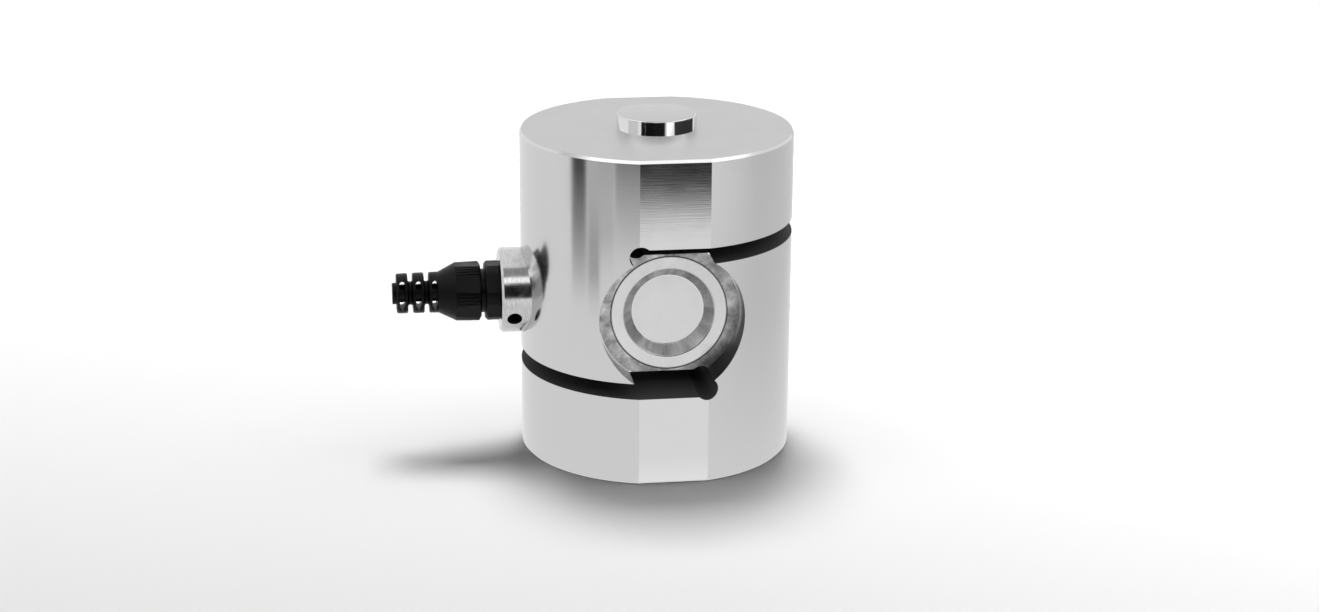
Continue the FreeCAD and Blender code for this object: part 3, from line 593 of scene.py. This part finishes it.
def moulded(name, colour, roughness, grain, depth, gloss=0.5):
    """Moulded plastic or rubber: a fine grain, with slow clouds in colour and shine."""
    finish = Finish(name, colour, 0.0, roughness)
    finish.shader.inputs["Specular IOR Level"].default_value = gloss
    pale = [min(1.0, channel * 1.5 + 0.001) for channel in colour]
    cloud = finish.noise(finish.place, 240.0, 4.0)
    finish.colour(finish.tint(cloud, colour, pale))
    finish.rough(finish.spread(cloud, roughness - 0.05, roughness + 0.08))
    finish.relief(finish.noise(finish.place, grain, 3.0), depth)
    return finish.material


def woven(name, colour, axis_scale):
    """Plaited tinned wire: two crossing bands of fine waves."""
    finish = Finish(name, colour, 1.0, 0.34)
    angle = finish.math("ARCTAN2", finish.y, finish.math("SUBTRACT", finish.z, MID))
    turn = finish.times(angle, 8.0)
    along = finish.times(finish.x, axis_scale)
    first = finish.math("SINE", finish.math("ADD", along, turn))
    second = finish.math("SINE", finish.math("SUBTRACT", along, turn))
    height = finish.math("MAXIMUM", first, second)
    finish.rough(finish.spread(finish.noise(finish.place, 900.0), 0.28, 0.42))
    finish.relief(height, 0.05 * MM)
    return finish.material


class LOADCELL_OT_plastics(Operator):
    """Give the gland, boot, seals and cable their nylon, rubber and wire"""

    bl_idname = "loadcell.plastics"
    bl_label = "Nylon, Rubber and Cable Finishes"

    def execute(self, context):
        nylon = settings().nylon
        wear(["gland_body", "dome_nut"], moulded("black_nylon", nylon.nylon, 0.36, 2600.0, 0.012 * MM, 0.12))
        wear(["collar_seal_ring", "gland_seal_ring", "cable_seal"],
             moulded("seal_rubber", nylon.rubber, 0.55, 3800.0, 0.01 * MM))
        wear(["cable_sheath"], moulded("sheath", (0.006, 0.006, 0.006), 0.45, 3000.0, 0.01 * MM, 0.25))
        wear(["cable_shield"], woven("tinned_braid", (0.72, 0.71, 0.69), 5200.0))
        cores = {"core_red": (0.42, 0.012, 0.01), "core_black": (0.012, 0.012, 0.012),
                 "core_green": (0.012, 0.16, 0.035), "core_white": (0.74, 0.74, 0.72)}
        for name, colour in cores.items():
            wear([name], moulded(name + "_skin", colour, 0.4, 5200.0, 0.004 * MM))
        return {"FINISHED"}


class LOADCELL_OT_strands(Operator):
    """Show the twisted copper strands at the cut end of each core"""

    bl_idname = "loadcell.strands"
    bl_label = "Wire Strands"

    def execute(self, context):
        strand = settings().strand
        copper = turned_steel("copper_strand", COPPER, None, 0.25, 0.002 * MM, 3000.0).material
        for colour in ("red", "black", "green", "white"):
            grid = twisted_bundle(cut_end("core_" + colour), strand.reach, strand.radius, strand.twist)
            grid_mesh("strands_" + colour, grid, True, copper, "lead_wire")
        return {"FINISHED"}


def cut_end(name):
    """The middle of a node's leftmost face."""
    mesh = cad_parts[name].data
    points = np.empty(3 * len(mesh.vertices))
    mesh.vertices.foreach_get("co", points)
    points = points.reshape(-1, 3)
    face = points[points[:, 0] < points[:, 0].min() + 0.01 * MM]
    return 0.5 * (face.min(axis=0) + face.max(axis=0))


def twisted_bundle(middle, reach, radius, twist):
    """Points of seven wires twisted together, seen as one ridged rod along X.

    At angle a the rod's radius is radius times 0.83 plus 0.17 times the cosine of 6 a, the lobes turn by
    twist over its length, and the end is rounded by a last row at 0.8 of the radius."""
    angle = np.linspace(0.0, 2.0 * math.pi, 36, endpoint=False)[None, :]
    along = np.array([-2.0, 0.0, 0.8, 1.0])[:, None]
    size = np.array([1.0, 1.0, 1.0, 0.8])[:, None]
    ridged = radius * size * (0.83 + 0.17 * np.cos(6.0 * angle))
    turned = angle + twist * along
    return np.stack([middle[0] - reach * along + 0.0 * angle, middle[1] + ridged * np.sin(turned),
                     middle[2] + ridged * np.cos(turned)], axis=-1)


# Finishes of the sealed inside

class LOADCELL_OT_inside(Operator):
    """Give the gauges, boards, leads, sealant and gel their finishes"""

    bl_idname = "loadcell.inside"
    bl_label = "Inside Finishes"

    def execute(self, context):
        wear(["gauge_front_left", "gauge_front_right", "gauge_back_left", "gauge_back_right"],
             moulded("gauge_carrier", (0.52, 0.30, 0.08), 0.35, 1800.0, 0.004 * MM))
        wear(["front_terminal_board", "back_terminal_board", "trim_board"],
             moulded("glass_board", (0.05, 0.20, 0.07), 0.35, 2200.0, 0.008 * MM))
        wear(["trim_resistors"], moulded("resistor_body", (0.06, 0.05, 0.045), 0.45, 2400.0, 0.006 * MM))
        wires = ["trim_links", "front_gauge_leads", "back_gauge_leads"]
        wear(wires, turned_steel("copper_wire", COPPER, None, 0.22, 0.002 * MM, 3000.0).material)
        wear(["port_sealant"], moulded("grey_sealant", (0.30, 0.30, 0.31), 0.5, 900.0, 0.03 * MM))
        wear(["front_gel", "back_gel"], clear_gel())
        return {"FINISHED"}


def clear_gel():
    """Soft clear gel with a faint milky cloud and a wet skin."""
    gel = moulded("gauge_gel", (0.82, 0.86, 0.88), 0.12, 400.0, 0.02 * MM)
    gel.node_tree.nodes["Principled BSDF"].inputs["Transmission Weight"].default_value = 0.85
    return gel


# Studio

# Points along a card's azimuths, and up an upright and an overhead one
CARD_COLUMNS = 33
ARC_ROWS = 9
DOME_ROWS = 17

# Upright cards: name, azimuths in degrees, radius, heights, the glow at each height, and the soft sides
ARC_CARDS = (
    ("front_dark", (-4.0, 21.0), 0.30, (0.0, 0.006, 0.012, 0.25), (0.7, 0.30, 0.02, 0.005), (0.0, 8.0)),
    ("front_inner_dark", (-14.0, -4.0), 0.25, (0.0, 0.009, 0.026, 0.036, 0.188),
     (0.8, 0.62, 0.10, 0.015, 0.01), (0.0, 0.0)),
    ("front_left_dark", (-40.0, -14.0), 0.25, (0.0, 0.009, 0.026, 0.045, 0.07, 0.24),
     (0.8, 0.66, 0.42, 0.05, 0.01, 0.005), (0.0, 0.0)),
    ("left_inner_grey", (-52.0, -40.0), 0.19, (0.0, 0.0148, 0.0176, 0.0205, 0.0233, 0.03, 0.05, 0.08, 0.16),
     (0.90, 0.84, 0.755, 0.63, 0.55, 0.62, 0.54, 0.03, 0.01), (0.0, 0.0)),
    ("left_grey", (-61.0, -52.0), 0.19, (0.0, 0.006, 0.012, 0.020, 0.035, 0.05, 0.10),
     (0.85, 0.60, 0.36, 0.45, 0.58, 0.58, 0.58), (0.0, 0.0)),
    ("left_post", (-79.0, -61.0), 0.20, (0.0, 0.013, 0.043, 0.10), (0.74, 0.45, 0.04, 0.01), (5.0, 3.0)),
    ("left_upper_grey", (-95.0, -62.0), 0.25, (0.12, 0.24), (0.75, 0.75), (0.0, 0.0)),
    ("right_dark", (44.0, 95.0), 0.50, (0.0, 0.24), (0.04, 0.04), (0.0, 0.0)),
    ("right_rear_dark", (95.0, 120.0), 0.50, (0.0, 0.16), (0.04, 0.04), (0.0, 8.0)),
    ("soft_box", (-1.0, 41.0), 0.60, (0.25, 0.70), (1.5, 1.5), (0.0, 0.0)),
)

# Cards overhead: name, azimuths and elevations in degrees, radius and glow
DOME_CARDS = (
    ("ring_light", (-100.0, 100.0), (30.0, 47.0), 1.0, 1.7),
    ("front_top_grey", (-70.0, 70.0), (51.0, 77.0), 1.2, 0.37),
)

# Soft lamps: name, place, width, length and share of the key power
LAMPS = (
    ("key_lamp", (0.0, 0.50, 1.65), 0.52, 0.60, 0.65),
    ("long_lamp", (0.0, 0.0, 1.65), 0.59, 3.7, 0.35),
)

# Floor: half its width, how far it lies under the base, and where the camera begins to see it white
FLOOR_REACH = 3.0
FLOOR_DROP = 0.02 * MM
HORIZON = (0.45, 0.8)

# Where reflections see the floor darken to the right, and where that fades out towards the front
RIGHT_FALL = (0.02, 0.16)
FRONT_FALL = (-0.25, -0.05)

# The wedge of floor before the flat that reflections see paler: how fast it widens, and its added glow
# at the flat and past its reach
WEDGE_SPREAD = 0.3
WEDGE_REACH = 0.02
WEDGE_GLOW = (0.24, 0.11)


def arc_card(name, azimuths, radius, heights, levels, soft):
    """An upright card that only reflections see.

    It is part of a cylinder of the given radius about the Z axis: azimuth runs between the two angles in
    degrees, 0 at the front and rising to the right, and height between the two heights. Its glow goes
    from the first level at the foot to the last at the top, by the heights and levels listed, and fades
    to white over the first number of soft degrees at its left side and the second at its right side."""
    turn = np.radians(np.linspace(azimuths[0], azimuths[1], CARD_COLUMNS))[None, :]
    rise = np.linspace(heights[0], heights[-1], ARC_ROWS)[:, None]
    grid = np.stack([radius * np.sin(turn) + 0.0 * rise, -radius * np.cos(turn) + 0.0 * rise,
                     rise + 0.0 * turn], axis=-1)
    return glowing_card(name, grid, heights, levels, azimuths, soft)


def dome_card(name, azimuths, elevations, radius, level):
    """A card overhead that only reflections see: part of a sphere about the object's middle, between two
    azimuths and two elevations in degrees."""
    turn = np.radians(np.linspace(azimuths[0], azimuths[1], CARD_COLUMNS))[None, :]
    rise = np.radians(np.linspace(elevations[0], elevations[1], DOME_ROWS))[:, None]
    grid = np.stack([radius * np.cos(rise) * np.sin(turn), -radius * np.cos(rise) * np.cos(turn),
                     MID + radius * np.sin(rise) + 0.0 * turn], axis=-1)
    return glowing_card(name, grid, (0.0, radius), (level, level))


def glowing_card(name, grid, heights, levels, azimuths=(-180.0, 180.0), soft=(0.0, 0.0)):
    """A stage card whose plain glow changes with height, hidden from the camera and from soft light."""
    finish = Finish(name, (0.0, 0.0, 0.0), 0.0, 1.0)
    ramp = finish.node("ShaderNodeValToRGB", Fac=finish.ramp(finish.z, heights[0], heights[-1]))
    strongest = max(1.0, max(levels))
    stops = ramp.color_ramp.elements
    stops.remove(stops[-1])
    for number, (height, level) in enumerate(zip(heights, levels)):
        stop = stops[0] if number == 0 else stops.new((height - heights[0]) / (heights[-1] - heights[0]))
        stop.color = (level / strongest, level / strongest, level / strongest, 1.0)
    glow = ramp.outputs["Color"]
    white = (1.0 / strongest, 1.0 / strongest, 1.0 / strongest)
    turn = finish.math("ARCTAN2", finish.x, finish.times(finish.y, -1.0))
    for side, width, inward in ((azimuths[0], soft[0], 1.0), (azimuths[1], soft[1], -1.0)):
        if width > 0.0:
            inside = finish.times(finish.math("SUBTRACT", turn, math.radians(side)), inward)
            edge = finish.node("ShaderNodeMapRange", Value=inside, From_Min=0.0, From_Max=math.radians(width))
            edge.interpolation_type = "SMOOTHSTEP"
            glow = finish.tint(edge.outputs[0], white, glow)
    first_bounce = finish.math("LESS_THAN", finish.node("ShaderNodeLightPath").outputs["Diffuse Depth"], 0.5)
    shine = finish.node("ShaderNodeEmission", Color=glow, Strength=finish.times(first_bounce, strongest))
    finish.tree.links.new(shine.outputs[0], finish.tree.nodes["Material Output"].inputs["Surface"])
    card = grid_mesh(name, grid, False, finish.material, None)
    card.visible_camera = False
    card.visible_diffuse = False
    card.visible_shadow = False
    return card


def soft_lamp(name, place, target, width, length, power):
    """An oblong area lamp at place that looks at target, unseen in reflections."""
    data = bpy.data.lights.new(name, "AREA")
    data.shape = "RECTANGLE"
    data.size = width
    data.size_y = length
    data.energy = power
    lamp = bpy.data.objects.new(name, data)
    bpy.context.scene.collection.objects.link(lamp)
    lamp.location = place
    lamp.rotation_euler = (target - lamp.location).to_track_quat("-Z", "Y").to_euler()
    lamp.visible_glossy = False
    return lamp


def studio_floor(level):
    """A wide pale floor whose grey is painted rising to white to the right and to the back, as painted light.

    Reflections and glass see an even pale surround, a little darker to the right of the object and paler
    in a wedge before the front flat. Far from the object the camera sees the floor white."""
    finish = Finish("studio_floor", (level, level, level), 0.0, 0.9)
    finish.shader.inputs["Specular IOR Level"].default_value = 0.0
    x, y = finish.x, finish.y

    # The floor's grey, painted paler to the right and to the back as painted light
    right = finish.times(finish.math("MAXIMUM", x, 0.0), 0.7)
    shade = finish.math("ADD", finish.math("ADD", finish.times(x, 0.3), right), finish.times(y, 0.7))
    grain = finish.times(finish.noise(finish.place, 60.0), 0.006)
    grey = finish.math("MINIMUM", finish.math("ADD", finish.math("ADD", shade, level), grain), 1.0)
    grey = finish.math("MAXIMUM", grey, level - 0.12)
    finish.colour(finish.stretched(grey, grey, grey))

    # What reflections see of it
    fall = finish.times(finish.ramp(x, *RIGHT_FALL, 0.0, 0.17), finish.ramp(y, *FRONT_FALL))
    out = finish.math("SUBTRACT", finish.times(y, -1.0), FLAT)
    half = finish.math("ADD", finish.times(out, WEDGE_SPREAD), FLAT_HALF)
    past = finish.math("SUBTRACT", finish.math("ABSOLUTE", x), half)
    paler = finish.ramp(out, 0.0, WEDGE_REACH, *WEDGE_GLOW)
    wedge = finish.times(finish.ramp(past, -MM, MM, 1.0, 0.0), paler)
    wedge = finish.times(wedge, finish.math("GREATER_THAN", out, 0.0))
    seen = finish.math("ADD", finish.math("SUBTRACT", 0.90, fall), wedge)

    # Which of them a ray meets
    path = finish.node("ShaderNodeLightPath").outputs
    mirrored = finish.math("MAXIMUM", path["Is Glossy Ray"], path["Is Transmission Ray"])
    mirrored = finish.times(mirrored, finish.math("LESS_THAN", path["Diffuse Depth"], 0.5))
    far = finish.times(finish.ramp(finish.radius_about(x, y), *HORIZON), path["Is Camera Ray"])
    surface = finish.shader.outputs[0]
    for share, strength in ((far, 1.0), (mirrored, seen)):
        glow = finish.node("ShaderNodeEmission", Strength=strength)
        mix = finish.node("ShaderNodeMixShader", Fac=share)
        finish.tree.links.new(surface, mix.inputs[1])
        finish.tree.links.new(glow.outputs[0], mix.inputs[2])
        surface = mix.outputs[0]
    finish.tree.links.new(surface, finish.tree.nodes["Material Output"].inputs["Surface"])

    reach = np.linspace(-FLOOR_REACH, FLOOR_REACH, 5)
    grid = np.stack(np.meshgrid(reach, reach) + [np.full((5, 5), -FLOOR_DROP)], axis=-1)
    floor = grid_mesh("studio_floor", grid, False, finish.material, None)


def studio_world(ambient):
    """White to the camera, to reflections and to what shines through, and softer as light."""
    world = bpy.data.worlds.new("studio")
    bpy.context.scene.world = world
    world.use_nodes = True
    tree = world.node_tree
    back = tree.nodes["Background"]
    path = tree.nodes.new("ShaderNodeLightPath")

    def step(operation, first, second):
        node = tree.nodes.new("ShaderNodeMath")
        node.operation = operation
        for socket, value in zip(node.inputs, (first, second)):
            if isinstance(value, float):
                socket.default_value = value
            else:
                tree.links.new(value, socket)
        return node.outputs[0]

    seen = step("MAXIMUM", path.outputs["Is Glossy Ray"], path.outputs["Is Transmission Ray"])
    seen = step("MULTIPLY", seen, step("LESS_THAN", path.outputs["Diffuse Depth"], 0.5))
    seen = step("MAXIMUM", seen, path.outputs["Is Camera Ray"])
    strength = step("ADD", step("MULTIPLY", seen, 1.0 - ambient), ambient)
    back.inputs["Color"].default_value = (1.0, 1.0, 1.0, 1.0)
    tree.links.new(strength, back.inputs["Strength"])


class LOADCELL_OT_stage(Operator):
    """Set the floor, the soft lamps, the cards that the steel reflects, and the white surround"""

    bl_idname = "loadcell.stage"
    bl_label = "Studio"

    def execute(self, context):
        stage = settings().stage
        centre = 0.5 * (CAD_BOX[0] + CAD_BOX[1])
        studio_floor(stage.floor)
        studio_world(stage.ambient)
        for name, place, width, length, share in LAMPS:
            soft_lamp(name, place, centre, width, length, share * stage.key_power)
        for card in ARC_CARDS:
            arc_card(*card)
        for card in DOME_CARDS:
            dome_card(*card)
        bpy.context.scene.view_settings.view_transform = "Standard"
        return {"FINISHED"}


class LOADCELL_OT_camera(Operator):
    """Set the camera where the photograph was taken from"""

    bl_idname = "loadcell.camera"
    bl_label = "Camera"

    def execute(self, context):
        data = bpy.data.cameras.new("camera")
        data.lens = settings().stage.lens
        data.sensor_width = 36.0
        data.clip_start = 0.01
        camera = bpy.data.objects.new("camera", data)
        bpy.context.scene.collection.objects.link(camera)
        camera.location = EYE
        camera.rotation_euler = Euler([math.radians(angle) for angle in EYE_TURN])
        bpy.context.scene.camera = camera
        return {"FINISHED"}


OPERATORS = (LOADCELL_OT_steel, LOADCELL_OT_thread, LOADCELL_OT_plastics, LOADCELL_OT_strands,
             LOADCELL_OT_inside, LOADCELL_OT_stage, LOADCELL_OT_camera)


class LOADCELL_PT_looks(Panel):
    """Lists the steps that dress the load cell"""

    bl_idname = "LOADCELL_PT_looks"
    bl_label = "Load Cell"
    bl_space_type = "VIEW_3D"
    bl_region_type = "UI"
    bl_category = "Load Cell"

    def draw(self, context):
        for step in OPERATORS:
            self.layout.operator(step.bl_idname)


CLASSES = (SteelSettings, SlotSettings, CupSettings, ThreadSettings, StrandSettings, NylonSettings,
           StageSettings, LoadCellSettings, *OPERATORS, LOADCELL_PT_looks)


def register():
    for each in CLASSES:
        bpy.utils.register_class(each)
    bpy.types.Scene.load_cell = PointerProperty(type=LoadCellSettings)


def unregister():
    del bpy.types.Scene.load_cell
    for each in reversed(CLASSES):
        bpy.utils.unregister_class(each)


def main():
    """Dress the load cell."""
    register()
    bpy.ops.loadcell.steel()
    bpy.ops.loadcell.thread()
    bpy.ops.loadcell.plastics()
    bpy.ops.loadcell.strands()
    bpy.ops.loadcell.inside()
    bpy.ops.loadcell.stage()
    bpy.ops.loadcell.camera()


if __name__ == "__main__":
    main()
